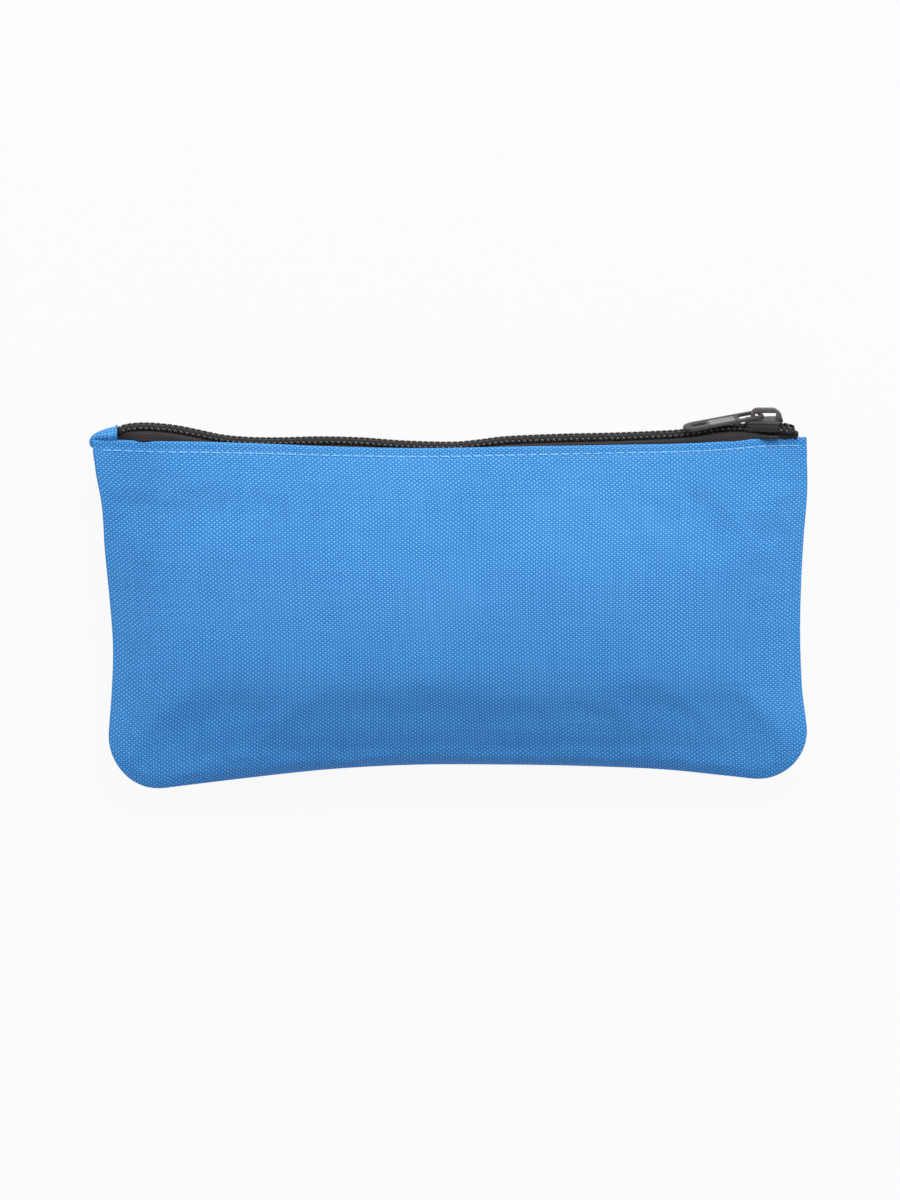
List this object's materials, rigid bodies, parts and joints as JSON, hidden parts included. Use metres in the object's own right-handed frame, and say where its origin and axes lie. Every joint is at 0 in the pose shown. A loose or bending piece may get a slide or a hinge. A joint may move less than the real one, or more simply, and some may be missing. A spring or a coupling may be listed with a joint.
{
  "type": "zip pencil case",
  "caption": "Flat blue fabric pencil case, two panels sewn together, closed by a black coil zip with a folded end tab and a metal slider with a flat puller.",
  "frame": {"origin": "on the flat patch of the back panel that the case rests on, near its middle", "axes": "+X along the case from the end tab to the closed slider, +Y to the mouth with the zip, +Z out of the front panel"},
  "size_m": [0.217, 0.1166, 0.0291],
  "materials": {
    "case_fabric": "coarse plain weave, coated, slight sheen",
    "zip_tape": "fine woven tape, matte",
    "cord": "twisted cord, matte",
    "coil_nylon": "nylon monofilament, satin",
    "coil_thread": "twisted thread, matte",
    "sewing_thread": "twisted polyester thread, slight sheen",
    "slider_metal": "dark grey paint, slightly rough and worn",
    "puller_metal": "grey paint, satin"
  },
  "bodies": {
    "back_half": {"back_panel": "case_fabric", "left_end_tab": "case_fabric", "end_tab_stitch": "sewing_thread", "left_seam_thread": "sewing_thread", "right_seam_thread": "sewing_thread", "bottom_seam_thread": "sewing_thread", "back_topstitch": "sewing_thread", "back_tape": "zip_tape", "back_coil": "coil_nylon", "back_filler_cord": "cord", "back_coil_stitching": "coil_thread"},
    "front_half": {"front_panel": "case_fabric", "front_topstitch": "sewing_thread", "front_tape": "zip_tape", "front_coil": "coil_nylon", "front_filler_cord": "cord", "front_coil_stitching": "coil_thread"},
    "slider": {"slider_body": "slider_metal"},
    "puller": {"pull_tab": "puller_metal"}
  },
  "joints": [
    {"name": "mouth_open", "type": "hinge", "parent": "back_half", "child": "front_half", "pos_m": [0, -0.0565, 0.0115], "axis": [1, 0, 0], "range_deg": [0, 11]},
    {"name": "slider_travel", "type": "slide", "parent": "back_half", "child": "slider", "axis": [-1, 0, 0], "range_m": [0, 0.182], "deforming": ["front_tape", "back_tape", "front_coil", "back_coil", "front_filler_cord", "back_filler_cord", "front_coil_stitching", "back_coil_stitching", "left_end_tab", "end_tab_stitch"]},
    {"name": "puller_flip", "type": "hinge", "parent": "slider", "child": "puller", "pos_m": [0.09385, 0.06025, 0.0115], "axis": [-0.1392, 0, -0.9903], "range_deg": [0, 176]}
  ],
  "couplings": [
    {"joint": "slider_travel", "follows": "mouth_open", "m_per_rad": 0.94798}
  ]
}
